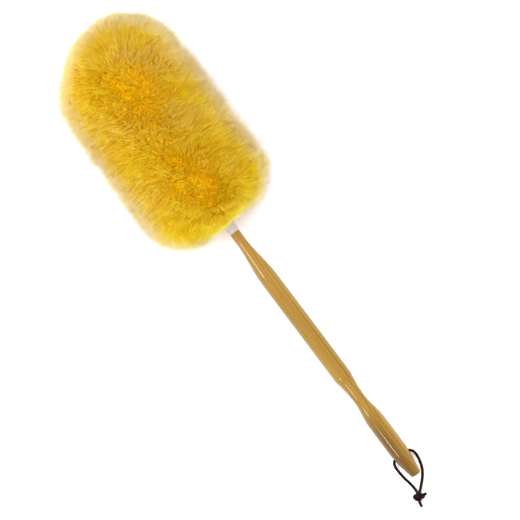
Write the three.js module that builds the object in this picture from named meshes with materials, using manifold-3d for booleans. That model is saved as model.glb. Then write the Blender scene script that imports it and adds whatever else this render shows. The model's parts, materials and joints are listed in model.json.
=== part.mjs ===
// A lambswool wheel brush on a turned wooden handle, lying on a level surface.
// Millimetres, +Z up. The surface is z = 0 and +X runs from the butt of the handle to the tip of the head.

import * as THREE from "three";
import Module from "manifold-3d";
import { mergeVertices } from "three/addons/utils/BufferGeometryUtils.js";

const clearance = 0.3; // left between pieces that touch, for the glue or the play

// Handle. Lengths follow each other from the butt end.
const buttRadius = 5.8;
const buttEdge = 1;
const buttShoulder = 6;
const taperLength = 33;
const gripRadius = 11;
const gripLength = 45;
const waistRise = 32;
const waistRadius = 7.4;
const waistFall = 31;
const bodyRadius = 10.9;
const bodyLength = 145;
const neckFall = 56;
const neckRadius = 6.1;
const neckLength = 12;
const coreRadius = 5.4;
const sweepEase = 0.32; // share of a swept stretch whose ends leave level

// Cross hole for the thong, with eased mouths
const holeFromButt = 28.5;
const holeRadius = 2.75;
const holeMouthDepth = 1.75;

// Collar: a plastic sleeve that widens from the neck to the wound hide
const collarWall = 0.7;
const collarConeLength = 24;
const collarSleeveLength = 14;

// Hide strip wound round the core, and the disc on the core's end
const hideThickness = 2.5;
const hideWidth = 24;
const hideSpacing = 1;
const hideStartInCollar = 12;
const windingLength = 206;
const coreEndMargin = 2;
const discRadius = 9;

// Wool: its outline is told from the collar's lower edge and from the disc
const woolRadius = 80;
const woolStart = 12;
const woolShoulder = 54;
const woolBackBulge = 14;
const domeLength = 65;
const domeShoulder = 72;
const backFullness = 0.45;
const shoulderFullness = 0.95;
const domeFullness = 0.5;
const woolSquash = 14; // how far the surface presses the pile in below its shoulder

// Tacks that hold the ends of the hide and the disc
const tackHeadRadius = 2.2;
const tackHeadThickness = 0.6;
const tackShankRadius = 0.7;
const sideTackLength = 6.5;
const tipTackLength = 12;

// Thong: a round lace through the cross hole, tied beyond the butt
const laceRadius = 1.7;
const knotCentre = [-50.4, 12.8, -4.35];
const knotRadii = [7, 6.6, 6];

// The thong's points, from the centre of the cross hole, in the axes of the finished part
const loopRoute = [
  [-43.2, 11.4, -5.8],
  [-37.5, 11.4, -8.1],
  [-31.5, 12.2, -8.75],
  [-25, 13.4, -8.6],
  [-18.5, 14.2, -7.1],
  [-12, 14.5, -4.6],
  [-6.8, 14.2, -2],
  [-2.3, 12.3, -0.4],
  [-0.2, 8.6, 0],
  [0, 4.2, 0],
  [0, -4.2, 0],
  [-0.2, -8.6, 0],
  [-2.3, -12.3, -0.4],
  [-6.8, -14.2, -2],
  [-12, -14.2, -4.6],
  [-18.5, -12.9, -7.1],
  [-25, -10.7, -8.6],
  [-31.5, -6.8, -8.75],
  [-37.5, -1.4, -8.1],
  [-42.2, 3.6, -7.1],
  [-45.7, 7.4, -5.6],
];
const longTailRoute = [
  [-56.7, 16.3, -6.7],
  [-59.6, 17, -8.4],
  [-62.6, 17.1, -8.75],
];
const shortTailRoute = [
  [-52.6, 6.2, -3.9],
  [-53.2, 3.3, -3.7],
];

// Facets
const turnedSegments = 32;
const woolSegments = 44;
const curveSteps = 8;
const stripStepsPerTurn = 18;
const laceSides = 8;
const loopSteps = 34;
const tackSegments = 12;

// Places along the handle's axis that follow from the lengths
const gripEnd = taperLength + gripLength;
const waistAt = gripEnd + waistRise;
const bodyStart = waistAt + waistFall;
const bodyEnd = bodyStart + bodyLength;
const neckStart = bodyEnd + neckFall;
const collarSeat = neckStart + neckLength;
const collarStart = collarSeat + clearance;
const coneEnd = collarStart + collarConeLength;
const collarEnd = coneEnd + collarSleeveLength;
const hideStart = collarEnd - hideStartInCollar;
const hideEnd = hideStart + windingLength;
const coreEnd = hideEnd + coreEndMargin;
const discStart = coreEnd + clearance;
const discEnd = discStart + hideThickness;
const domeEnd = discEnd + domeLength;

// Radii that follow
const hideInner = coreRadius + clearance;
const hideOuter = hideInner + hideThickness;
const collarNeckInner = coreRadius + clearance;
const collarSleeveInner = hideOuter + clearance;
const collarSleeveOuter = collarSleeveInner + collarWall;
const tackSeat = hideOuter + clearance;

const hidePitch = hideWidth + hideSpacing;
const hideTurns = (windingLength - hideWidth) / hidePitch;

// The handle is tilted until its butt rim and the pressed wool both touch the surface.
const shoulderAlong = collarSeat + woolShoulder;
const shoulderDrop = woolRadius - buttRadius;
const tilt = Math.atan2(shoulderDrop, shoulderAlong)
  - Math.asin(woolSquash / Math.hypot(shoulderDrop, shoulderAlong));

const wasm = await Module();
wasm.setup();

// A geometry as a solid that can be cut. Triangles that collapse at an axis are dropped.
function toSolid(geometry) {
  const bare = geometry.clone();
  bare.deleteAttribute("normal");
  bare.deleteAttribute("uv");
  const merged = mergeVertices(bare);
  const corners = merged.index.array;
  const kept = [];
  for (let i = 0; i < corners.length; i += 3) {
    const [a, b, c] = corners.slice(i, i + 3);
    if (a !== b && b !== c && c !== a) {
      kept.push(a, b, c);
    }
  }
  const mesh = new wasm.Mesh({
    numProp: 3,
    vertProperties: new Float32Array(merged.attributes.position.array),
    triVerts: new Uint32Array(kept),
  });
  return new wasm.Manifold(mesh);
}

function toGeometry(solid) {
  const mesh = solid.getMesh();
  const geometry = new THREE.BufferGeometry();
  geometry.setAttribute("position", new THREE.BufferAttribute(mesh.vertProperties, 3));
  geometry.setIndex(new THREE.BufferAttribute(mesh.triVerts, 1));
  geometry.computeVertexNormals();
  return geometry;
}

// A turned solid. The path's x is a radius and its y a place along the axis, which becomes +X.
function turned(path, segments) {
  return new THREE.LatheGeometry(path.getPoints(curveSteps), segments).rotateZ(-Math.PI / 2);
}

function polyline(points) {
  const path = new THREE.Path();
  path.moveTo(...points[0]);
  points.slice(1).forEach((point) => path.lineTo(...point));
  return path;
}

function piece(name, geometry, color, roughness, metalness) {
  const material = new THREE.MeshStandardMaterial({ color, roughness, metalness });
  const mesh = new THREE.Mesh(geometry, material);
  mesh.name = name;
  return mesh;
}

// Moves a shape made along +X so that it starts at a radius and points outwards there.
function radially(along, angle, radius) {
  const place = new THREE.Matrix4().makeTranslation(along, 0, 0);
  place.multiply(new THREE.Matrix4().makeRotationX(angle));
  place.multiply(new THREE.Matrix4().makeTranslation(0, 0, radius));
  return place.multiply(new THREE.Matrix4().makeRotationY(-Math.PI / 2));
}

// ---- handle

function handleOutline() {
  const path = new THREE.Path();
  path.moveTo(0, 0);
  path.lineTo(buttRadius - buttEdge, 0);
  path.quadraticCurveTo(buttRadius, 0, buttRadius + buttEdge / 4, buttEdge);
  path.quadraticCurveTo(gripRadius, taperLength - buttShoulder, gripRadius, taperLength);
  path.lineTo(gripRadius, gripEnd);
  path.bezierCurveTo(
    gripRadius, gripEnd + waistRise * sweepEase,
    waistRadius, waistAt - waistRise * sweepEase,
    waistRadius, waistAt,
  );
  path.bezierCurveTo(
    waistRadius, waistAt + waistFall * sweepEase,
    (bodyRadius + waistRadius) / 2, bodyStart - waistFall * sweepEase / 2,
    bodyRadius, bodyStart,
  );
  path.lineTo(bodyRadius, bodyEnd);
  path.bezierCurveTo(
    bodyRadius, bodyEnd + neckFall * sweepEase,
    neckRadius, neckStart - neckFall * sweepEase,
    neckRadius, neckStart,
  );
  path.lineTo(neckRadius, collarSeat);
  path.lineTo(coreRadius, collarSeat);
  path.lineTo(coreRadius, coreEnd);
  path.lineTo(0, coreEnd);
  return path;
}

function crossHole() {
  const mouthReach = gripRadius + holeMouthDepth;
  const mouthRadius = holeRadius + 2 * holeMouthDepth;
  const throat = gripRadius - holeMouthDepth;
  const path = polyline([
    [0, -mouthReach],
    [mouthRadius, -mouthReach],
    [holeRadius, -throat],
    [holeRadius, throat],
    [mouthRadius, mouthReach],
    [0, mouthReach],
  ]);
  return toSolid(turned(path, turnedSegments).rotateZ(Math.PI / 2).translate(holeFromButt, 0, 0));
}

// ---- tacks

function tackShape(shankLength) {
  const point = 3 * tackShankRadius;
  return turned(polyline([
    [0, -shankLength],
    [tackShankRadius, point - shankLength],
    [tackShankRadius, 0],
    [tackHeadRadius, 0],
    [tackHeadRadius, tackHeadThickness / 2],
    [tackHeadRadius / 2, tackHeadThickness],
    [0, tackHeadThickness],
  ]), tackSegments);
}

// The room that a tack needs in the pieces around it
function tackRoom(shankLength) {
  const depth = shankLength + clearance;
  const holeSize = tackShankRadius + clearance;
  const headRoom = tackHeadRadius + clearance;
  return turned(polyline([
    [0, -depth],
    [holeSize, -depth],
    [holeSize, -clearance],
    [headRoom, -clearance],
    [headRoom, tackHeadThickness + clearance],
    [0, tackHeadThickness + clearance],
  ]), tackSegments);
}

// A tack sits in the middle of the strip's width, this many turns from its start.
function sideTackPlace(turns) {
  const along = hideStart + hideWidth / 2 + turns * hidePitch;
  return radially(along, turns * 2 * Math.PI, tackSeat);
}

const lowerTackPlace = sideTackPlace(0.4);
const upperTackPlace = sideTackPlace(hideTurns - 0.2);
const tipTackPlace = new THREE.Matrix4().makeTranslation(discEnd + clearance, 0, 0);
const tackRooms = [
  toSolid(tackRoom(sideTackLength).applyMatrix4(lowerTackPlace)),
  toSolid(tackRoom(sideTackLength).applyMatrix4(upperTackPlace)),
  toSolid(tackRoom(tipTackLength).applyMatrix4(tipTackPlace)),
];

function withoutTacks(solid) {
  return tackRooms.reduce((rest, room) => rest.subtract(room), solid);
}

function handleGeometry() {
  const blank = toSolid(turned(handleOutline(), turnedSegments));
  return toGeometry(withoutTacks(blank.subtract(crossHole())));
}

// ---- collar, hide and disc

function collarGeometry() {
  return turned(polyline([
    [collarNeckInner, collarStart],
    [collarNeckInner + collarWall, collarStart],
    [collarSleeveOuter, coneEnd],
    [collarSleeveOuter, collarEnd],
    [collarSleeveInner, collarEnd],
    [collarSleeveInner, coneEnd],
    [collarNeckInner, collarStart],
  ]), turnedSegments);
}

// A flat strip, bent into a helix round the core
function hideStripGeometry() {
  const steps = Math.ceil(hideTurns * stripStepsPerTurn);
  const strip = new THREE.BoxGeometry(1, 1, 1, steps, 1, 1);
  const corners = strip.attributes.position;
  for (let i = 0; i < corners.count; i += 1) {
    const turns = (corners.getX(i) + 0.5) * hideTurns;
    const radius = hideInner + (corners.getZ(i) + 0.5) * hideThickness;
    const along = hideStart + turns * hidePitch + (corners.getY(i) + 0.5) * hideWidth;
    const angle = turns * 2 * Math.PI;
    corners.setXYZ(i, along, -radius * Math.sin(angle), radius * Math.cos(angle));
  }
  return toGeometry(withoutTacks(toSolid(strip)));
}

function discGeometry() {
  const disc = turned(polyline([
    [0, discStart],
    [discRadius, discStart],
    [discRadius, discEnd],
    [0, discEnd],
  ]), turnedSegments);
  return toGeometry(withoutTacks(toSolid(disc)));
}

// ---- wool

// The pile's outer shape, from the back of the head over its dome
function woolOutline() {
  const path = new THREE.Path();
  const back = collarSeat + woolStart;
  path.moveTo(0, back);
  path.lineTo(coreRadius, back);
  path.bezierCurveTo(
    woolRadius * backFullness, back - woolBackBulge,
    woolRadius * shoulderFullness, back + woolBackBulge,
    woolRadius, shoulderAlong,
  );
  path.lineTo(woolRadius, domeEnd - domeShoulder);
  path.bezierCurveTo(
    woolRadius, domeEnd - domeShoulder * domeFullness,
    woolRadius * domeFullness, domeEnd,
    0, domeEnd,
  );
  return path;
}

// What the wool leaves free for the collar, the hide and the disc
function woolBore() {
  const neckOuter = collarNeckInner + collarWall + clearance;
  const sleeve = collarSleeveOuter + clearance;
  const hide = hideOuter + clearance;
  const disc = discRadius + clearance;
  const low = collarSeat - woolBackBulge;
  return turned(polyline([
    [0, low],
    [neckOuter, low],
    [neckOuter, collarStart],
    [sleeve, coneEnd],
    [sleeve, collarEnd + clearance],
    [hide, collarEnd + clearance],
    [hide, coreEnd],
    [disc, coreEnd],
    [disc, discEnd + clearance],
    [0, discEnd + clearance],
  ]), turnedSegments);
}

// The wool of the disc parts from the wool of the strip along a cone that opens at 45 degrees.
function tipCone(shift) {
  const start = discEnd + shift - discRadius;
  const reach = domeEnd + clearance - start;
  return toSolid(turned(polyline([[0, start], [reach, start + reach], [0, start + reach]]), woolSegments));
}

// The surface that the brush lies on, as a block below it in the handle's own axes
function surfaceBlock(lift) {
  const size = 2 * domeEnd;
  const block = new THREE.BoxGeometry(size, size, size).translate(domeEnd / 2, 0, -size / 2);
  block.translate(0, 0, -lift);
  return toSolid(block.applyMatrix4(new THREE.Matrix4().makeRotationY(tilt)));
}

function woolGeometries(lift) {
  const whole = toSolid(turned(woolOutline(), woolSegments));
  const hollow = withoutTacks(whole.subtract(toSolid(woolBore())));
  const pressed = hollow.subtract(surfaceBlock(lift));
  const halfGap = clearance / Math.SQRT2;
  return {
    pile: toGeometry(pressed.subtract(tipCone(-halfGap))),
    tip: toGeometry(pressed.intersect(tipCone(halfGap))),
  };
}

// ---- thong

function lacePiece(name, route, steps) {
  const section = new THREE.Shape();
  for (let i = 0; i < laceSides; i += 1) {
    const angle = (i / laceSides) * 2 * Math.PI;
    const corner = [laceRadius * Math.cos(angle), laceRadius * Math.sin(angle)];
    section[i === 0 ? "moveTo" : "lineTo"](...corner);
  }
  const extrudePath = new THREE.CatmullRomCurve3(route.map((point) => new THREE.Vector3(...point)));
  const geometry = new THREE.ExtrudeGeometry(section, { steps, bevelEnabled: false, extrudePath });
  return piece(name, geometry, 0x1c100b, 0.6, 0);
}

function knotPiece() {
  const geometry = new THREE.SphereGeometry(1, 14, 10).scale(...knotRadii).translate(...knotCentre);
  return piece("thong_knot", geometry, 0x24140d, 0.65, 0);
}

function thongGroup() {
  const thong = new THREE.Group();
  thong.add(lacePiece("thong_loop", loopRoute, loopSteps));
  thong.add(knotPiece());
  thong.add(lacePiece("thong_long_tail", longTailRoute, 2));
  thong.add(lacePiece("thong_short_tail", shortTailRoute, 1));
  return thong;
}

// ---- the whole brush

function lowestPoint(geometry) {
  const laid = geometry.clone().applyMatrix4(new THREE.Matrix4().makeRotationY(-tilt));
  laid.computeBoundingBox();
  return laid.boundingBox.min.z;
}

const handle = piece("handle", handleGeometry(), 0xbc8e3c, 0.3, 0);
const lift = -lowestPoint(handle.geometry);
const wool = woolGeometries(lift);

const laid = new THREE.Group();
laid.add(handle);
laid.add(piece("collar", collarGeometry(), 0xdcdad2, 0.35, 0));
laid.add(piece("hide_strip", hideStripGeometry(), 0xd8b878, 0.8, 0));
laid.add(piece("tip_disc", discGeometry(), 0xd8b878, 0.8, 0));
laid.add(piece("lower_tack", tackShape(sideTackLength).applyMatrix4(lowerTackPlace), 0xb9b4a8, 0.35, 1));
laid.add(piece("upper_tack", tackShape(sideTackLength).applyMatrix4(upperTackPlace), 0xb9b4a8, 0.35, 1));
laid.add(piece("tip_tack", tackShape(tipTackLength).applyMatrix4(tipTackPlace), 0xb9b4a8, 0.35, 1));
laid.add(piece("wool_pile", wool.pile, 0xe0a81c, 0.95, 0));
laid.add(piece("tip_wool", wool.tip, 0xe2b43c, 0.95, 0));
laid.rotation.y = -tilt;
laid.position.z = lift;

const box = new THREE.Box3().setFromObject(laid, true);
laid.position.x = -(box.min.x + box.max.x) / 2;
laid.updateMatrixWorld(true);

const thong = thongGroup();
thong.position.copy(laid.localToWorld(new THREE.Vector3(holeFromButt, 0, 0)));

const brush = new THREE.Group();
brush.add(laid);
brush.add(thong);

export default brush;
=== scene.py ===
import json
import math

import bmesh
import bpy
import numpy as np
from mathutils import Matrix, Vector, kdtree


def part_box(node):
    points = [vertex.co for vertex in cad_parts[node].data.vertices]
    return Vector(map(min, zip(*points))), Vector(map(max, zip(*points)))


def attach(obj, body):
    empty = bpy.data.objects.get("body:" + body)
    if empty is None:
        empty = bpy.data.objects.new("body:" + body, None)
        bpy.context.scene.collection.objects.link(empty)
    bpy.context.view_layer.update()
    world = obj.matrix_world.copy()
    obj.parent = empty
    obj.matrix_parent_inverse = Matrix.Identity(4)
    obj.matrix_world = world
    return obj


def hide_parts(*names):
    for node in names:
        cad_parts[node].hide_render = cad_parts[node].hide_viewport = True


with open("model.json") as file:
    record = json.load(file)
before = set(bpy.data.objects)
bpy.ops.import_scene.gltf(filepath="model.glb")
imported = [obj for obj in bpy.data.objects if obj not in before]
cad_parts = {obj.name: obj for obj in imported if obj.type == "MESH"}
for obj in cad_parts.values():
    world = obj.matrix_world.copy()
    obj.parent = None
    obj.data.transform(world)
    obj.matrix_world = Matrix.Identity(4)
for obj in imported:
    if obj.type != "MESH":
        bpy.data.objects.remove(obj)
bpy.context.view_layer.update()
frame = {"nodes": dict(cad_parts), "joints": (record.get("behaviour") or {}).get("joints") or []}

mm = 0.001
fullTurn = 2 * math.pi
mergeGap = 0.01 * mm              # points nearer than this are one point
sharpAngle = math.radians(40)     # edges that fold more than this stay crisp
hinge = Vector(frame["joints"][0]["pos_m"])
discLow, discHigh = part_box("tip_disc")
brushAxis = ((discLow + discHigh) / 2 - hinge).normalized()
acrossAxis = Vector((0, 1, 0))
upAxis = brushAxis.cross(acrossAxis)
tilt = math.atan2(brushAxis.z, brushAxis.x)
holeFromButt = 28.5 * mm
buttEnd = hinge - brushAxis * holeFromButt

bpy.context.scene.view_settings.view_transform = "Standard"


def toLinear(code):
    channels = [int(code[i:i + 2], 16) / 255 for i in (0, 2, 4)]
    linear = [c / 12.92 if c <= 0.04045 else ((c + 0.055) / 1.055) ** 2.4 for c in channels]
    return (*linear, 1)


def addNode(tree, kind, settings=None, inputs=None):
    # inputs maps a socket's name or number to a value, or to the socket that feeds it
    node = tree.nodes.new(kind)
    for key, value in (settings or {}).items():
        setattr(node, key, value)
    for key, value in (inputs or {}).items():
        if isinstance(value, bpy.types.NodeSocket):
            tree.links.new(value, node.inputs[key])
        else:
            node.inputs[key].default_value = value
    return node


def addRamp(tree, factor, stops):
    ramp = addNode(tree, "ShaderNodeValToRGB", None, {"Fac": factor})
    elements = ramp.color_ramp.elements
    while len(elements) < len(stops):
        elements.new(0.5)
    for element, (position, code) in zip(elements, stops):
        element.position = position
        element.color = toLinear(code)
    return ramp.outputs["Color"]


def newMaterial(name, settings):
    material = bpy.data.materials.new(name)
    material.use_nodes = True
    tree = material.node_tree
    shader = tree.nodes.get("Principled BSDF")
    if shader is None:
        shader = addNode(tree, "ShaderNodeBsdfPrincipled")
        output = addNode(tree, "ShaderNodeOutputMaterial")
        tree.links.new(shader.outputs["BSDF"], output.inputs["Surface"])
    for key, value in settings.items():
        shader.inputs[key].default_value = value
    return material, tree, shader


def ownCoordinates(tree, scale=(1, 1, 1), shift=(0, 0, 0)):
    # Object coordinates told from the butt of the handle, with x along its axis
    spot = addNode(tree, "ShaderNodeTexCoord").outputs["Object"]
    laid = addNode(tree, "ShaderNodeMapping", {"vector_type": "TEXTURE"}, {
        "Vector": spot, "Location": buttEnd, "Rotation": (0, -tilt, 0),
    })
    return addNode(tree, "ShaderNodeMapping", {"vector_type": "POINT"}, {
        "Vector": laid.outputs["Vector"], "Location": shift, "Scale": scale,
    }).outputs["Vector"]


def toObject(bm, name, smooth=False):
    mesh = bpy.data.meshes.new(name)
    for face in bm.faces:
        face.smooth = smooth
    bm.to_mesh(mesh)
    bm.free()
    piece = bpy.data.objects.new(name, mesh)
    bpy.context.collection.objects.link(piece)
    return piece


def bezierRun(points, steps):
    # points along a curve with three or four control points
    t = np.linspace(0, 1, steps)[:, None]
    rows = [np.array(point, float) + 0 * t for point in points]
    while len(rows) > 1:
        rows = [a + (b - a) * t for a, b in zip(rows, rows[1:])]
    return rows[0]


def turnOnAxis(name, outline, sides, closed=False):
    # turns an outline of (along, radius) points round the handle's axis and lays it in place
    bm = bmesh.new()
    ring = [bm.verts.new((along, 0, radius)) for along, radius in outline]
    edges = [bm.edges.new(pair) for pair in zip(ring, ring[1:] + ring[:1] if closed else ring[1:])]
    bmesh.ops.spin(bm, geom=ring + edges, axis=(1, 0, 0), cent=(0, 0, 0), dvec=(0, 0, 0),
                   angle=fullTurn, steps=sides, use_merge=True)
    bmesh.ops.remove_doubles(bm, verts=bm.verts, dist=mergeGap)
    bmesh.ops.recalc_face_normals(bm, faces=bm.faces)
    seat = Matrix.Translation(buttEnd) @ Matrix.Rotation(-tilt, 4, "Y")
    bmesh.ops.transform(bm, matrix=seat, verts=bm.verts)
    return toObject(bm, name, smooth=True)


def finishedMesh(piece):
    # the piece's mesh with its modifiers applied, or a curve as a mesh
    depsgraph = bpy.context.evaluated_depsgraph_get()
    return bpy.data.meshes.new_from_object(piece.evaluated_get(depsgraph), depsgraph=depsgraph)


view = {
    "lens": 200,          # long lens, so that the head isn't drawn larger than the handle
    "frameWidth": 609 * mm,
    "roll": -126.9,       # degrees: the tip of the head points up and to the left
    "alongFromButt": 310.5 * mm,
    "aside": -4.6 * mm,
    "farEnd": 20,
}


def addCamera():
    data = bpy.data.cameras.new("camera")
    data.lens = view["lens"]
    data.clip_end = view["farEnd"]
    distance = view["frameWidth"] * view["lens"] / data.sensor_width
    camera = bpy.data.objects.new("camera", data)
    bpy.context.collection.objects.link(camera)
    # square above the brush's own axis, which climbs a little towards the head
    turn = Matrix.Rotation(-tilt, 4, "Y") @ Matrix.Rotation(math.radians(view["roll"]), 4, "Z")
    camera.location = (buttEnd + brushAxis * view["alongFromButt"] + acrossAxis * view["aside"]
                       + upAxis * distance)
    camera.rotation_euler = turn.to_euler()
    bpy.context.scene.camera = camera


def addSoftbox(name, spot, target, size, watts):
    data = bpy.data.lights.new(name, "AREA")
    data.shape = "RECTANGLE"
    data.size = size[0]
    data.size_y = size[1]
    data.energy = watts
    lamp = bpy.data.objects.new(name, data)
    bpy.context.collection.objects.link(lamp)
    lamp.location = spot
    lamp.rotation_euler = (Vector(target) - Vector(spot)).to_track_quat("-Z", "Y").to_euler()
    return lamp


studio = {
    "sky": 0.68,
    "aim": (0.05, 0, 0.05),
    "overheadSpot": (0.1, 0.15, 1.8), "overheadSize": 1.6, "overheadWatts": 60,
    "sideSpot": (-0.6, 1.3, 1.1), "sideSize": 1.2, "sideWatts": 3,
    # narrow lamps that only draw the varnish's highlights: name, place along the brush, length
    "strips": [("neckStrip", 0.1, 0.36), ("waistStrip", -0.8, 0.45)],
    "stripAside": 1.2, "stripUp": 1.3, "stripWidth": 0.36,
    "stripWatts": 20,     # for a strip one metre long
    "floorColour": "FCFCFB",
    "floorReach": 4,
}


def addFloor():
    bm = bmesh.new()
    bmesh.ops.create_grid(bm, x_segments=1, y_segments=1, size=studio["floorReach"])
    floor = toObject(bm, "floor")
    paper = newMaterial("paleBackdropPaper", {
        "Roughness": 0.9, "Base Color": toLinear(studio["floorColour"]),
    })[0]
    floor.data.materials.append(paper)


def addStudio():
    addCamera()
    addFloor()
    world = bpy.data.worlds.new("studio")
    world.use_nodes = True
    background = world.node_tree.nodes.get("Background")
    if background is None:
        background = addNode(world.node_tree, "ShaderNodeBackground")
        output = addNode(world.node_tree, "ShaderNodeOutputWorld")
        world.node_tree.links.new(background.outputs[0], output.inputs[0])
    background.inputs["Color"].default_value = (1, 1, 1, 1)
    background.inputs["Strength"].default_value = studio["sky"]
    bpy.context.scene.world = world
    overhead = addSoftbox("overheadSoftbox", studio["overheadSpot"], studio["aim"],
                          (studio["overheadSize"], studio["overheadSize"]), studio["overheadWatts"])
    side = addSoftbox("sideSoftbox", studio["sideSpot"], studio["aim"],
                      (studio["sideSize"], studio["sideSize"]), studio["sideWatts"])
    # the broad lamps are kept out of the varnish's reflections, where they would lie as a white veil
    overhead.visible_glossy = side.visible_glossy = False
    for name, along, length in studio["strips"]:
        spot, target = (along, studio["stripAside"], studio["stripUp"]), (along, 0, studio["aim"][2])
        size, watts = (length, studio["stripWidth"]), studio["stripWatts"] * length
        strip = addSoftbox(name, spot, target, size, watts)
        strip.visible_diffuse = False


thong = {
    "laceDiameter": 3.4 * mm,
    "length": 122 * mm,
    "colour": "130603", "rubbedColour": "1B0A05", "wornColour": "42200E",
    "knotSize": 1.62 * mm,        # size of the trefoil that the knot's strands follow
    "knotTurn": -52, "knotTip": 38,
    "knotPoints": 24,
    "knotStrandRadius": 1.75 * mm,
    "knotStrandSpread": 1.25 * mm,
    "knotHeart": 4.6 * mm,        # a ball that fills the knot's middle
    "skinGrid": 0.3 * mm,
}

# the lace's way from the knot, through the cross hole and back, told from the middle of the hole
loopRoute = [
    (-43.2, 11.4, -5.8), (-37.5, 11.4, -8.1), (-31.5, 12.2, -8.75), (-25, 13.4, -8.6), (-18.5, 14.2, -7.1),
    (-12, 14.5, -4.6), (-6.8, 14.2, -2), (-2.3, 12.3, -0.4), (-0.2, 8.6, 0), (0, 4.2, 0), (0, -4.2, 0),
    (-0.2, -8.6, 0), (-2.3, -12.3, -0.4), (-6.8, -14.2, -2), (-12, -14.2, -4.6), (-18.5, -12.9, -7.1),
    (-25, -10.7, -8.6), (-31.5, -6.8, -8.75), (-37.5, -1.4, -8.1), (-42.2, 3.6, -7.1), (-45.7, 7.4, -5.6),
]
knotCentre = (-50.4, 12.8, -3.75)
longTail = [(-52.6, 13.8, -4.6), (-56.7, 16.3, -6.7), (-59.6, 17, -8.4), (-62.6, 17.1, -8.75)]
shortTail = [(-51.6, 9.6, -4.1), (-52.6, 6.2, -3.9), (-53.2, 3.3, -3.7)]


def fromHole(point):
    return hinge + Vector(point) * mm


def laceCurve(name, points, radius, closed=False):
    data = bpy.data.curves.new(name, "CURVE")
    data.dimensions = "3D"
    data.bevel_depth = radius
    data.bevel_resolution = 5
    data.resolution_u = 8
    data.use_fill_caps = True
    spline = data.splines.new("BEZIER")
    spline.bezier_points.add(len(points) - 1)
    for knot, point in zip(spline.bezier_points, points):
        knot.co = point
        knot.handle_left_type = knot.handle_right_type = "AUTO"
    spline.use_cyclic_u = closed
    lace = bpy.data.objects.new(name, data)
    bpy.context.collection.objects.link(lace)
    return lace


# Round leather lace, dyed nearly black and waxed: it reads as dark brown only where light grazes it.
def laceMaterial():
    material, tree, shader = newMaterial("waxedLeatherLace", {
        "Roughness": 0.55, "Specular IOR Level": 0.06,
    })
    spot = addNode(tree, "ShaderNodeTexCoord").outputs["Object"]
    # patches of rubbed dye a few millimetres long
    worn = addNode(tree, "ShaderNodeTexNoise", None, {
        "Vector": spot, "Scale": 300, "Detail": 3, "Roughness": 0.6,
    })
    colour = addRamp(tree, worn.outputs["Fac"], [
        (0.35, thong["colour"]), (0.58, thong["rubbedColour"]), (0.8, thong["wornColour"]),
    ])
    tree.links.new(colour, shader.inputs["Base Color"])
    # grain of the hide, cells about 0.4 mm across
    grain = addNode(tree, "ShaderNodeTexVoronoi", {"feature": "SMOOTH_F1"}, {"Vector": spot, "Scale": 2500})
    bump = addNode(tree, "ShaderNodeBump", None, {
        "Height": grain.outputs["Distance"], "Strength": 0.35, "Distance": 0.12 * mm,
    })
    tree.links.new(bump.outputs["Normal"], shader.inputs["Normal"])
    return material


def addKnot(material):
    # an overhand knot drawn tight: two laces side by side on a trefoil's way, merged to one skin
    centre = fromHole(knotCentre)
    turn = Matrix.Rotation(math.radians(thong["knotTurn"]), 3, "Z")
    turn = turn @ Matrix.Rotation(math.radians(thong["knotTip"]), 3, "X")
    laces = []
    for side in (-1, 1):
        way = []
        for i in range(thong["knotPoints"]):
            t = i / thong["knotPoints"] * fullTurn
            trefoil = Vector((math.sin(t) + 2 * math.sin(2 * t), math.cos(t) - 2 * math.cos(2 * t),
                              -1.5 * math.sin(3 * t)))
            point = trefoil * thong["knotSize"] + Vector((0, 0, side * thong["knotStrandSpread"]))
            way.append(centre + turn @ point)
        laces.append(laceCurve("knotLace", way, thong["knotStrandRadius"], closed=True))
    radius = thong["laceDiameter"] / 2
    tails = [("longTail", [fromHole(p) for p in longTail]), ("shortTail", [fromHole(p) for p in shortTail])]
    legs = [("legs", [fromHole(p) for p in ends] + [centre]) for ends in (loopRoute[1::-1], loopRoute[-2:])]
    laces += [laceCurve(name, way, radius) for name, way in tails + legs]
    bm = bmesh.new()
    bmesh.ops.create_uvsphere(bm, u_segments=32, v_segments=20, radius=thong["knotHeart"],
                              matrix=Matrix.Translation(centre))
    for lace in laces:
        bm.from_mesh(finishedMesh(lace))
        bpy.data.objects.remove(lace)
    knot = toObject(bm, "thongKnot", smooth=True)
    skin = knot.modifiers.new("oneSkin", "REMESH")
    skin.mode = "VOXEL"
    skin.voxel_size = thong["skinGrid"]
    soften = knot.modifiers.new("soften", "SMOOTH")
    soften.factor = 0.5
    soften.iterations = 2
    mesh = finishedMesh(knot)
    knot.modifiers.clear()
    knot.data = mesh
    for face in mesh.polygons:
        face.use_smooth = True
    mesh.materials.clear()
    mesh.materials.append(material)
    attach(knot, "thong")
    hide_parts("thong_knot", "thong_long_tail", "thong_short_tail")
    return knot


def addThong():
    material = laceMaterial()
    loop = laceCurve("thongLoop", [fromHole(point) for point in loopRoute], thong["laceDiameter"] / 2)
    loop.data.materials.append(material)
    knot = addKnot(material)
    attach(loop, "thong")
    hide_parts("thong_loop")


# radii, and places along the handle from its butt, in millimetres
handle = {
    "sides": 112,
    "buttRadius": 5.8, "gripRadius": 11, "waistRadius": 7.4, "bodyRadius": 10.9, "neckRadius": 6.1,
    "coreRadius": 5.4,
    "taperEnd": 33, "gripEnd": 78, "waistAt": 110, "bodyStart": 141, "bodyEnd": 286,
    "neckStart": 342, "neckEnd": 354, "coreEnd": 588.3,
    "holeRadius": 2.75, "holeMouth": 1.75, "holeEdge": 1.2, "holeSides": 48,
    # the last colour of this row is painted shade, laid on one side of the grip
    "paleWood": "987634", "wood": "8B6A24", "darkWood": "6E4C08", "gripShadeColour": "5A3A00",
    "poreColour": "5A3C08", "buttDarkColour": "4A300A", "streakColours": ("7A5A10", "8B6A26", "997A3C"),
    "ringSpacing": 2.6 * mm,
}


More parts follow.
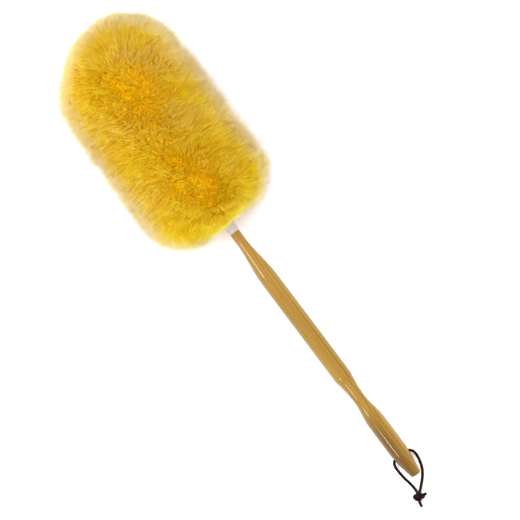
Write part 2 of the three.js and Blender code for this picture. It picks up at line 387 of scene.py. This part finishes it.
def handleOutline():
    # (along, radius) from the butt: taper, grip, waist, body, neck and the core inside the head
    butt, grip, waist = handle["buttRadius"], handle["gripRadius"], handle["waistRadius"]
    body, neck, core = handle["bodyRadius"], handle["neckRadius"], handle["coreRadius"]
    taperEnd, gripEnd, waistAt = handle["taperEnd"], handle["gripEnd"], handle["waistAt"]
    bodyStart, bodyEnd = handle["bodyStart"], handle["bodyEnd"]
    neckStart, neckEnd, coreEnd = handle["neckStart"], handle["neckEnd"], handle["coreEnd"]
    runs = [
        [(0, 0), (0, butt - 1)],
        bezierRun([(0, butt - 1), (0, butt), (1, butt + 0.25)], 9),
        bezierRun([(1, butt + 0.25), (taperEnd - 6, grip), (taperEnd, grip)], 36),
        bezierRun([(taperEnd, grip), (taperEnd + 15, grip), (gripEnd - 15, grip), (gripEnd, grip)], 16),
        bezierRun([(gripEnd, grip), (gripEnd + 10.2, grip), (waistAt - 10.2, waist), (waistAt, waist)], 34),
        bezierRun([(waistAt, waist), (waistAt + 9.9, waist), (bodyStart - 5, (body + waist) / 2),
                   (bodyStart, body)], 34),
        bezierRun([(bodyStart, body), (bodyStart + 48, body), (bodyEnd - 48, body), (bodyEnd, body)], 42),
        bezierRun([(bodyEnd, body), (bodyEnd + 17.9, body), (neckStart - 17.9, neck),
                   (neckStart, neck)], 44),
        bezierRun([(neckStart, neck), (neckStart + 4, neck), (neckEnd - 4, neck), (neckEnd, neck)], 5),
        [(neckEnd, core), (420, core), (500, core), (coreEnd, core), (coreEnd, 0)],
    ]
    outline = []
    for run in runs:
        for along, radius in run:
            if not outline or math.hypot(along - outline[-1][0], radius - outline[-1][1]) > 0.01:
                outline.append((along, radius))
    return [(along * mm, radius * mm) for along, radius in outline]


# Straight-grained hardwood under gloss varnish: thin brown rings in honey wood, drawn out along the
# handle by the cut, with short dark pores, and a wet shine on top that the grain doesn't break.
def woodMaterial():
    material, tree, shader = newMaterial("varnishedHardwood", {
        "Roughness": 0.5, "Coat Weight": 0.55, "Coat Roughness": 0.06, "Specular IOR Level": 0.12,
    })
    # the tree's middle lies 38 mm beside the handle; lengthwise the wood wanders twelve times slower
    rings = ownCoordinates(tree, (0.08, 1, 1), (0, -38 * mm, 17 * mm))
    ring = addNode(tree, "ShaderNodeTexWave", {"wave_type": "RINGS", "rings_direction": "X"}, {
        "Vector": rings, "Scale": fullTurn / (20 * handle["ringSpacing"]), "Distortion": 3.2,
        "Detail": 2.5, "Detail Scale": 0.35, "Detail Roughness": 0.55,
    })
    late = addRamp(tree, ring.outputs["Fac"], [
        (0.0, handle["paleWood"]), (0.55, handle["wood"]), (0.85, handle["darkWood"]),
        (1.0, handle["wood"]),
    ])
    # broad streaks of heartwood, about 6 mm wide and 150 mm long
    streaks = addNode(tree, "ShaderNodeTexNoise", None, {
        "Vector": ownCoordinates(tree, (0.04, 1, 1)), "Scale": 150, "Detail": 3, "Roughness": 0.55,
    })
    streak = addRamp(tree, streaks.outputs["Fac"], list(zip((0.3, 0.5, 0.72), handle["streakColours"])))
    wood = addNode(tree, "ShaderNodeMix", {"data_type": "RGBA"}, {"Factor": 0.5, 6: late, 7: streak})
    # pores, 0.25 mm wide and 6 mm long
    pores = addNode(tree, "ShaderNodeTexNoise", None, {
        "Vector": ownCoordinates(tree, (0.04, 1, 1)), "Scale": 4000, "Detail": 1, "Roughness": 0.5,
    })
    pore = addNode(tree, "ShaderNodeMapRange", None, {
        "Value": pores.outputs["Fac"], "From Min": 0.62, "From Max": 0.72, "To Min": 0, "To Max": 0.55,
    })
    pored = addNode(tree, "ShaderNodeMix", {"data_type": "RGBA"}, {
        "Factor": pore.outputs["Result"], 6: wood.outputs[2], 7: toLinear(handle["poreColour"]),
    })
    spot = addNode(tree, "ShaderNodeSeparateXYZ", None, {"Vector": ownCoordinates(tree)})
    along = spot.outputs["X"]
    # painted shade: the grip is darker towards its +Y side
    nearGrip = addNode(tree, "ShaderNodeMapRange", {"interpolation_type": "SMOOTHSTEP"}, {
        "Value": along, "From Min": 45 * mm, "From Max": 115 * mm, "To Min": 0.85, "To Max": 0,
    })
    towardsSide = addNode(tree, "ShaderNodeMapRange", {"interpolation_type": "SMOOTHSTEP"}, {
        "Value": spot.outputs["Y"], "From Min": -7 * mm, "From Max": 3 * mm, "To Min": 0, "To Max": 1,
    })
    paintedShade = addNode(tree, "ShaderNodeMath", {"operation": "MULTIPLY"}, {
        0: nearGrip.outputs["Result"], 1: towardsSide.outputs["Result"],
    })
    gripShaded = addNode(tree, "ShaderNodeMix", {"data_type": "RGBA"}, {
        "Factor": paintedShade.outputs[0], 6: pored.outputs[2], 7: toLinear(handle["gripShadeColour"]),
    })
    # darker at the butt end, fading out over its first two millimetres
    buttDarkening = addNode(tree, "ShaderNodeMapRange", None, {
        "Value": along, "From Min": 0.2 * mm, "From Max": 2.2 * mm, "To Min": 0.75, "To Max": 0,
    })
    buttDarkened = addNode(tree, "ShaderNodeMix", {"data_type": "RGBA"}, {
        "Factor": buttDarkening.outputs["Result"], 6: gripShaded.outputs[2], 7: toLinear(handle["buttDarkColour"]),
    })
    tree.links.new(buttDarkened.outputs[2], shader.inputs["Base Color"])
    bump = addNode(tree, "ShaderNodeBump", {"invert": True}, {
        "Height": pore.outputs["Result"], "Strength": 0.3, "Distance": 0.05 * mm,
    })
    tree.links.new(bump.outputs["Normal"], shader.inputs["Normal"])
    return material


def addHandle():
    piece = turnOnAxis("turnedHandle", handleOutline(), handle["sides"])
    grip, mouth, hole = handle["gripRadius"] * mm, handle["holeMouth"] * mm, handle["holeRadius"] * mm
    # a drill with a countersink at each end, its steps eased
    bm = bmesh.new()
    ring = [bm.verts.new(point) for point in (
        (0, -grip - mouth, 0), (hole + 2 * mouth, -grip - mouth, 0), (hole, -grip + mouth, 0),
        (hole, grip - mouth, 0), (hole + 2 * mouth, grip + mouth, 0), (0, grip + mouth, 0))]
    for pair in zip(ring, ring[1:]):
        bm.edges.new(pair)
    bmesh.ops.bevel(bm, geom=[ring[2], ring[3]], offset=handle["holeEdge"] * mm, offset_type="OFFSET",
                    segments=4, profile=0.5, affect="VERTICES", material=-1)
    bmesh.ops.spin(bm, geom=bm.verts[:] + bm.edges[:], axis=(0, 1, 0), cent=(0, 0, 0), dvec=(0, 0, 0),
                   angle=fullTurn, steps=handle["holeSides"], use_merge=True)
    bmesh.ops.remove_doubles(bm, verts=bm.verts, dist=mergeGap)
    bmesh.ops.recalc_face_normals(bm, faces=bm.faces)
    bmesh.ops.translate(bm, vec=hinge, verts=bm.verts)
    drill = toObject(bm, "drill")
    cut = piece.modifiers.new("crossHole", "BOOLEAN")
    cut.operation = "DIFFERENCE"
    cut.solver = "EXACT"
    cut.object = drill
    mesh = finishedMesh(piece)
    piece.modifiers.clear()
    piece.data = mesh
    bpy.data.objects.remove(drill)
    mesh.materials.clear()
    mesh.materials.append(woodMaterial())
    mesh.set_sharp_from_angle(angle=sharpAngle)
    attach(piece, "brush")
    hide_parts("handle")


# radii, and places along the handle, in millimetres
collar = {
    "sides": 96,
    "wall": 0.7, "lip": 0.2, "neckInner": 5.7, "sleeveInner": 8.5,
    "start": 354.3, "coneEnd": 378.3, "end": 392.3,
    "colour": "BDB7B2", "shade": "ACA6A0",
}


# Polythene sleeve, moulded and left natural: milky white, a soft shine, light bleeding a little into it.
def collarMaterial():
    material, tree, shader = newMaterial("mouldedPolythene", {
        "Subsurface Weight": 0.15, "Subsurface Radius": (1, 0.9, 0.8), "Subsurface Scale": 1.5 * mm,
    })
    # faint flow marks along the sleeve, a few millimetres apart
    flow = addNode(tree, "ShaderNodeTexNoise", None, {
        "Vector": ownCoordinates(tree, (0.3, 1, 1)), "Scale": 260, "Detail": 2, "Roughness": 0.5,
    })
    colour = addRamp(tree, flow.outputs["Fac"], [(0.3, collar["shade"]), (0.7, collar["colour"])])
    tree.links.new(colour, shader.inputs["Base Color"])
    haze = addNode(tree, "ShaderNodeMapRange", None, {
        "Value": flow.outputs["Fac"], "To Min": 0.34, "To Max": 0.48,
    })
    tree.links.new(haze.outputs["Result"], shader.inputs["Roughness"])
    return material


def addCollar():
    start, cone, end, lip = collar["start"], collar["coneEnd"], collar["end"], collar["lip"]
    neckInner, sleeveInner = collar["neckInner"], collar["sleeveInner"]
    neck, sleeve = neckInner + collar["wall"], sleeveInner + collar["wall"]
    edge = bezierRun([(start, neck - lip), (start, neck), (start + lip, neck)], 5)
    coneRun = bezierRun([(start + lip, neck), (cone - 3, sleeve - 0.35), (cone, sleeve),
                         (cone + 4, sleeve)], 30)
    outline = [(start, neckInner), *map(tuple, edge), *map(tuple, coneRun[1:])]
    outline += [(end, sleeve), (end, sleeveInner), (cone, sleeveInner)]
    piece = turnOnAxis("collarSleeve", [(a * mm, r * mm) for a, r in outline], collar["sides"], closed=True)
    piece.data.materials.append(collarMaterial())
    piece.data.set_sharp_from_angle(angle=sharpAngle)
    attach(piece, "brush")
    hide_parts("collar")


hidden = {
    "hideShade": "C9A764", "hideColour": "E3CB95",
    "steelShade": "6F7076", "steelColour": "A9A79F",
}


# Sheepskin, flesh side out: matt, uneven cream with a faint nap.
def hideMaterial():
    material, tree, shader = newMaterial("tannedSheepskin", {"Roughness": 0.85, "Sheen Weight": 0.2})
    spot = addNode(tree, "ShaderNodeTexCoord").outputs["Object"]
    patches = addNode(tree, "ShaderNodeTexNoise", None, {
        "Vector": spot, "Scale": 90, "Detail": 4, "Roughness": 0.6,
    })
    colour = addRamp(tree, patches.outputs["Fac"], [
        (0.3, hidden["hideShade"]), (0.7, hidden["hideColour"]),
    ])
    tree.links.new(colour, shader.inputs["Base Color"])
    nap = addNode(tree, "ShaderNodeTexNoise", None, {"Vector": spot, "Scale": 2500, "Detail": 2})
    bump = addNode(tree, "ShaderNodeBump", None, {
        "Height": nap.outputs["Fac"], "Strength": 0.4, "Distance": 0.2 * mm,
    })
    tree.links.new(bump.outputs["Normal"], shader.inputs["Normal"])
    return material


# Cut steel tacks, blued by heat and rubbed bright on the head.
def tackMaterial():
    material, tree, shader = newMaterial("bluedSteel", {"Metallic": 1, "Roughness": 0.35})
    spot = addNode(tree, "ShaderNodeTexCoord").outputs["Object"]
    rubbed = addNode(tree, "ShaderNodeTexNoise", None, {"Vector": spot, "Scale": 900, "Detail": 3})
    colour = addRamp(tree, rubbed.outputs["Fac"], [
        (0.35, hidden["steelShade"]), (0.65, hidden["steelColour"]),
    ])
    tree.links.new(colour, shader.inputs["Base Color"])
    rough = addNode(tree, "ShaderNodeMapRange", None, {
        "Value": rubbed.outputs["Fac"], "To Min": 0.45, "To Max": 0.25,
    })
    tree.links.new(rough.outputs["Result"], shader.inputs["Roughness"])
    return material


def finishHiddenPieces():
    hide, steel = hideMaterial(), tackMaterial()
    for name, material in (("hide_strip", hide), ("tip_disc", hide),
                           ("lower_tack", steel), ("upper_tack", steel), ("tip_tack", steel)):
        for slot in frame["nodes"][name].material_slots:
            slot.material = material


# Lambswool, dyed golden yellow: deep and saturated down in the pile, bleached at the tips, with a painted
# pale sheen on the tips at the sides and ends of the head.
woolLook = {
    "mat": "DDAE0A",
    # colours along a fibre, each with its place from root to tip: one on top of the head keeps its
    # dye to the end, and one at the sides carries a painted pale sheen that turns its tip cream
    "deep": [(0.0, "FDAC00"), (0.5, "FDAC00"), (0.86, "FDAE00"), (1.0, "FDB208")],
    "pale": [(0.0, "FDAC00"), (0.44, "FDAC00"), (0.8, "F7BA36"), (1.0, "F2E7D4")],
    "map": "OFBake",           # across it a fibre's fading and painted sheen, and up it the place along the fibre
}


def woolMaterial():
    material, tree, shader = newMaterial("dyedLambswool", {
        "Roughness": 0.9, "Specular IOR Level": 0.0,
        "Subsurface Weight": 1.0, "Subsurface Radius": (1, 0.6, 0.2), "Subsurface Scale": 5 * mm,
    })
    strandMap = addNode(tree, "ShaderNodeUVMap", {"uv_map": woolLook["map"]})
    split = addNode(tree, "ShaderNodeSeparateXYZ", None, {"Vector": strandMap.outputs["UV"]})
    deep = addRamp(tree, split.outputs["Y"], woolLook["deep"])
    pale = addRamp(tree, split.outputs["Y"], woolLook["pale"])
    mixed = addNode(tree, "ShaderNodeMix", {"data_type": "RGBA"}, {
        "Factor": split.outputs["X"], 6: deep, 7: pale,
    })
    tree.links.new(mixed.outputs[2], shader.inputs["Base Color"])
    return material


# The same wool packed close under the fibres, where hardly any light gets: matt and plain.
def woolMatMaterial():
    return newMaterial("denseLambswool", {
        "Roughness": 0.95, "Specular IOR Level": 0.0, "Base Color": toLinear(woolLook["mat"]),
    })[0]


head = {
    "radius": 82.5 * mm,
    "backAlong": 372.5 * mm,     # where the wool starts at the collar
    "backRadius": 7 * mm,
    "shoulderAlong": 408 * mm,
    "domeStart": 584 * mm,
    "tipAlong": 657 * mm,
    "hideStart": 384 * mm,
    "hideEnd": 588 * mm,
    "hideRadius": 8.5 * mm,
    "discAlong": 592 * mm,
    "discRadius": 9 * mm,
}

wool = {
    "pieces": 10,
    "fibreSeed": 7,
    "locks": 5200, "lockSeed": 5,
    "rootShare": 0.78,           # where the fibres leave the mat, as a share of their whole length
    "lockLean": 0.5 * mm,        # how far the tips of one lock lean together
    "lockReach": 0.012,          # how much locks differ in length
    "tuftLean": 2.0 * mm, "tuftSize": 20 * mm, "tuftSeed": 4,
    "driftLean": 3 * mm, "driftSize": 90 * mm, "driftSeed": 3,
    "clump": 0.03,               # share of the way that a tip is drawn to the middle of its lock
    "crimp": 0.35 * mm,
    "unevenness": 0.016, "unevenSize": 26 * mm, "unevenSeed": 6,
    "bend": 1.6,                 # a fibre bends mostly near its tip
    "longest": 1.1,              # no fibre grows past this share of its usual length
    "drape": 12 * mm,            # how far the tips sink down the sides under their own weight
    "drapeFrom": 60 * mm,        # and how far out from the axis they are free to
    "floorGap": 1.2 * mm,
    "floorEase": 4 * mm,
    "floorSpread": 0.4,          # how far pressed fibre slides outwards, as a share of its lift
    "matMargin": 0.02,           # the mat reaches this share past the fibres' roots
    "matSides": 72,
}

# painted pale sheen, by how far a fibre faces away from straight up; and the dye's fading in patches, and
# fibre by fibre
fadeAndSheen = {
    "from": 0.74, "over": 0.46, "most": 0.84,
    "endShare": 0.3,             # the head's two ends get the painted sheen as well
    "patches": 0.06, "patchSize": 60 * mm, "patchSeed": 11,
    "uneven": 0.05, "unevenSide": 0.15,
}

# the pile's thick fibre bundles, and the fine pale fuzz that stands a little out of it
fibreKinds = [
    {"count": 84000, "levels": [0.0, 0.45, 0.8], "widths": [1.0, 0.85, 0.4], "radius": 0.34 * mm,
     "reach": 1.01, "spread": 0.022, "short": 0.035, "stray": 0.45 * mm, "paleFrom": 0.0},
    {"count": 50000, "levels": [0.0, 0.6], "widths": [1.0, 0.65], "radius": 0.13 * mm,
     "reach": 1.065, "spread": 0.06, "short": 0.0, "stray": 2.2 * mm, "paleFrom": 0.1},
]

# where the head is fuller or flatter than its turned outline, in millimetres: the place along, aside
# and up, then the size and the height
lumps = [
    ((632, 54, 10), 34, -14),
    ((652, 0, 0), 20, -9),
    ((392, -72, 10), 16, 7),
    ((530, -80, 0), 22, 6),
    ((440, 82, 0), 24, 3.5),
    ((470, 15, 80), 26, 2),
    ((560, -25, 78), 22, -2),
]


def headOutline():
    # (along, radius) of the pile's outer shape and of the hide under it, from the collar to the tip
    r = head["radius"]
    back = head["backAlong"]
    outer = np.vstack([
        bezierRun([(back, head["backRadius"]), (back - 15 * mm, r * 0.46),
                   (back + 5 * mm, r * 0.95), (head["shoulderAlong"], r)], 40),
        bezierRun([(head["shoulderAlong"], r), (head["shoulderAlong"] + 60 * mm, r + 1.5 * mm),
                   (head["domeStart"] - 60 * mm, r - 1 * mm), (head["domeStart"], r)], 30)[1:],
        bezierRun([(head["domeStart"], r), (head["domeStart"] + 35 * mm, r),
                   (head["tipAlong"], r * 0.52), (head["tipAlong"], 0)], 40)[1:],
    ])
    steps = np.hypot(*np.diff(outer, axis=0).T)
    run = np.concatenate([[0], np.cumsum(steps)])
    backRun, domeRun = run[39], run[68]     # where the back ends and where the dome starts
    rootAlong = np.interp(run, [0, backRun, domeRun, run[-1] - 30 * mm, run[-1]],
                          [head["hideStart"], head["hideStart"] + 18 * mm, head["hideEnd"] - 14 * mm,
                           head["hideEnd"], head["discAlong"]])
    rootRadius = np.interp(run, [0, run[-1] - 30 * mm, run[-1]],
                           [head["hideRadius"], head["discRadius"], 0])
    return run, outer, np.column_stack([rootAlong, rootRadius])


def place(along, radius, angle):
    # points in the row frame from places in the head's own round coordinates
    axis, up, across = (np.array(v) for v in (brushAxis, upAxis, acrossAxis))
    outwards = np.cos(angle)[:, None] * up + np.sin(angle)[:, None] * across
    return np.array(buttEnd) + along[:, None] * axis + radius[:, None] * outwards


def smoothField(points, seed, wavelength):
    # a smooth random vector field: a few waves that cross in random directions
    rng = np.random.default_rng(seed)
    total = np.zeros_like(points)
    for _ in range(14):
        direction = rng.normal(size=3)
        direction /= np.linalg.norm(direction)
        length = wavelength * rng.uniform(0.6, 1.8)
        phase = points @ direction * 2 * np.pi / length + rng.uniform(0, 2 * np.pi)
        total += np.sin(phase)[:, None] * rng.normal(size=3)
    return total / math.sqrt(14)


def pressOnFloor(points):
    # fibre that would reach into the surface is bent along it, outwards from the brush
    low = wool["floorGap"]
    ease = wool["floorEase"]
    over = (points[..., 2] - low) / ease
    lifted = low + ease * np.logaddexp(0, over)
    push = np.clip(lifted - points[..., 2], 0, None)
    side = np.sign(points[..., 1]) * np.minimum(np.abs(points[..., 1]) / (40 * mm), 1)
    points[..., 1] += push * side * wool["floorSpread"]
    points[..., 2] = lifted
    return points


def fibreShape(levels, widths):
    # one fibre bundle: a three-sided rod that thins to a point, as rings at shares of its length
    bm = bmesh.new()
    bmesh.ops.create_circle(bm, segments=3, radius=1, cap_ends=True)
    ring = list(bm.faces)
    for level in levels[1:]:
        grown = bmesh.ops.extrude_face_region(bm, geom=ring)["geom"]
        if level != levels[1]:
            # the first face closes the rod's foot; a later one would be left inside it
            bmesh.ops.delete(bm, geom=ring, context="FACES_ONLY")
        ring = [part for part in grown if isinstance(part, bmesh.types.BMFace)]
        for part in grown:
            if isinstance(part, bmesh.types.BMVert):
                part.co.z = level
    for vert in bmesh.ops.poke(bm, faces=ring)["verts"]:
        vert.co.z = 1
    bmesh.ops.triangulate(bm, faces=bm.faces)
    bmesh.ops.recalc_face_normals(bm, faces=bm.faces)
    level = np.array([vert.co.z for vert in bm.verts])
    angle = np.array([math.atan2(vert.co.y, vert.co.x) for vert in bm.verts])
    width = np.interp(level, levels + [1.0], widths + [0.0])
    bm.verts.index_update()
    faces = np.array([[vert.index for vert in face.verts] for face in bm.faces])
    bm.free()
    return level, angle, width, faces


def layLocks(weight, run, outer):
    # the middles of the locks, spread evenly over the head, and the way each leans
    rng = np.random.default_rng(wool["lockSeed"])
    count = wool["locks"]
    spot = np.interp(rng.random(count), weight, run)
    turn = rng.random(count) * fullTurn
    tips = place(np.interp(spot, run, outer[:, 0]), np.interp(spot, run, outer[:, 1]), turn)
    finder = kdtree.KDTree(count)
    for i, point in enumerate(tips):
        finder.insert(point, i)
    finder.balance()
    leans = rng.normal(size=tips.shape) * wool["lockLean"]
    return tips, finder, leans, rng.normal(size=count) * wool["lockReach"]


def lumpHeight(points):
    local = points - np.array(buttEnd)
    local = np.column_stack([local @ np.array(axis) for axis in (brushAxis, acrossAxis, upAxis)])
    height = np.zeros(len(points))
    for middle, size, rise in lumps:
        gap = ((local - np.array(middle) * mm) ** 2).sum(1)
        height += rise * mm * np.exp(-gap / (2 * (size * mm) ** 2))
    return height


def growFibres(kind, seed, weight, run, outer, root, locks):
    # corner points and map places of every fibre of one kind, in order from the collar to the tip
    rng = np.random.default_rng(seed)
    count = kind["count"]
    spot = np.interp((np.arange(count) + rng.random(count)) / count, weight, run)
    turn = rng.random(count) * 2 * np.pi
    rootPoint = place(np.interp(spot, run, root[:, 0]), np.interp(spot, run, root[:, 1]), turn)
    tipPoint = place(np.interp(spot, run, outer[:, 0]), np.interp(spot, run, outer[:, 1]), turn)
    fibre = tipPoint - rootPoint
    length = np.linalg.norm(fibre, axis=1)
    outwards = fibre / length[:, None]

    lockTips, finder, lockWay, lockLength = locks
    lock = np.array([finder.find(point)[1] for point in tipPoint])
    lean = lockWay[lock] + (lockTips[lock] - tipPoint) * wool["clump"]
    lean += smoothField(tipPoint, wool["driftSeed"], wool["driftSize"]) * wool["driftLean"]
    lean += smoothField(tipPoint, wool["tuftSeed"], wool["tuftSize"]) * wool["tuftLean"]
    lean += rng.normal(size=lean.shape).clip(-2, 2) * kind["stray"]
    # close to the collar there is no free length to sink
    free = np.clip(np.interp(spot, run, outer[:, 1]) / wool["drapeFrom"], 0, 1) ** 2
    lean[:, 2] -= wool["drape"] * free
    lean -= (lean * outwards).sum(1)[:, None] * outwards
    reach = kind["reach"] + lockLength[lock] + rng.normal(size=count) * kind["spread"]
    reach -= np.abs(rng.normal(size=count)) * kind["short"]
    reach += smoothField(tipPoint, wool["unevenSeed"], wool["unevenSize"])[:, 0] * wool["unevenness"]
    lump = lumpHeight(tipPoint) / length
    # a leaning fibre ends further out than its share says, so its limit is a little lower
    reach = np.minimum(reach + lump, wool["longest"] - (lean ** 2).sum(1) / length ** 2 / 2)

    level, ringAngle, width, faces = fibreShape(kind["levels"], kind["widths"])
    start = wool["rootShare"] + np.minimum(lump, 0)[:, None]
    share = start + (reach[:, None] - start) * level
    bend = np.clip((share - start) / (1 - start), 0, None) ** wool["bend"]
    spine = rootPoint[:, None] + fibre[:, None] * share[..., None] + lean[:, None] * bend[..., None]
    crimp = rng.normal(size=lean.shape) * wool["crimp"]
    spine += crimp[:, None] * np.sin(level * np.pi * 1.7)[None, :, None]
    sideways = np.cross(outwards, rng.normal(size=outwards.shape))
    sideways /= np.linalg.norm(sideways, axis=1)[:, None]
    across = np.cross(outwards, sideways)
    size = (kind["radius"] * rng.uniform(0.7, 1.25, count))[:, None] * width
    points = spine + (size * np.cos(ringAngle))[..., None] * sideways[:, None]
    points += (size * np.sin(ringAngle))[..., None] * across[:, None]

    # painted pale sheen: fibres that face sideways and along the head get paler, cream tips
    facing = outwards @ np.array(upAxis) - fadeAndSheen["endShare"] * np.abs(outwards @ np.array(brushAxis))
    side = np.clip((fadeAndSheen["from"] - facing) / fadeAndSheen["over"], 0, 1)
    tone = fadeAndSheen["most"] * side * side * (3 - 2 * side)
    tone += fadeAndSheen["patches"] * smoothField(tipPoint, fadeAndSheen["patchSeed"], fadeAndSheen["patchSize"])[:, 0]
    tone += rng.normal(size=count) * (fadeAndSheen["uneven"] + fadeAndSheen["unevenSide"] * side)
    tone = np.clip(tone, 0.01, 0.96)        # so that the bands below stay on the map
    # each side of a fibre has its own narrow band of the map
    band = np.round((ringAngle % (2 * np.pi)) / (2 * np.pi / 3)) % 3
    band = band[faces]
    band[(band.max(1) - band.min(1) > 1.5)[:, None] & (band < 0.5)] = 3
    u = tone[:, None, None] + 0.004 * band[None]
    v = kind["paleFrom"] + (1 - kind["paleFrom"]) * level[faces]
    return pressOnFloor(points), faces, np.stack([u, np.broadcast_to(v * 0.96 + 0.02, u.shape)], -1)


def growWool(material):
    run, outer, root = headOutline()
    weight = np.concatenate([[0], np.cumsum(0.5 * (outer[1:, 1] + outer[:-1, 1]) * np.diff(run))])
    weight /= weight[-1]
    locks = layLocks(weight, run, outer)
    kinds = [growFibres(kind, wool["fibreSeed"] + i, weight, run, outer, root, locks)
             for i, kind in enumerate(fibreKinds)]
    for number in range(wool["pieces"]):
        name = "woolPile%d" % (number + 1) if number < wool["pieces"] - 1 else "tipWool"
        verts, corners, spots, taken = [], [], [], 0
        for points, faces, places in kinds:
            members = np.array_split(np.arange(len(points)), wool["pieces"])[number]
            verts.append(points[members].reshape(-1, 3))
            offsets = taken + np.arange(len(members)) * points.shape[1]
            corners.append((faces[None] + offsets[:, None, None]).reshape(-1, 3))
            spots.append(places[members].reshape(-1, 2))
            taken += len(verts[-1])
        mesh = bpy.data.meshes.new(name)
        mesh.from_pydata(np.vstack(verts), [], np.vstack(corners), shade_flat=False)
        mesh.uv_layers.new(name=woolLook["map"]).data.foreach_set("uv", np.vstack(spots).ravel())
        mesh.materials.append(material)
        piece = bpy.data.objects.new(name, mesh)
        bpy.context.collection.objects.link(piece)
        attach(piece, "brush")
        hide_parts("wool_pile" if number < wool["pieces"] - 1 else "tip_wool")


def addWoolMat(material):
    # the dense wool under the strands, a closed body with the hide's bore through it
    run, outer, root = headOutline()
    inner = (root + (outer - root) * (wool["rootShare"] + wool["matMargin"]))[::3]
    bore = head["hideRadius"] + 0.3 * mm
    end = head["discAlong"] - 0.5 * mm
    outline = [tuple(p) for p in inner if p[1] > bore] + [(inner[-1][0], 0), (end, 0), (end, bore)]
    piece = turnOnAxis("woolMat", outline, wool["matSides"], closed=True)
    for vert in piece.data.vertices:
        # pressed flat where the head rests
        vert.co.z = max(vert.co.z, wool["floorGap"])
    piece.data.materials.append(material)
    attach(piece, "brush")


print("studio")
addStudio()
print("thong")
addThong()
print("handle and collar")
addHandle()
addCollar()
finishHiddenPieces()
print("wool")
growWool(woolMaterial())
addWoolMat(woolMatMaterial())
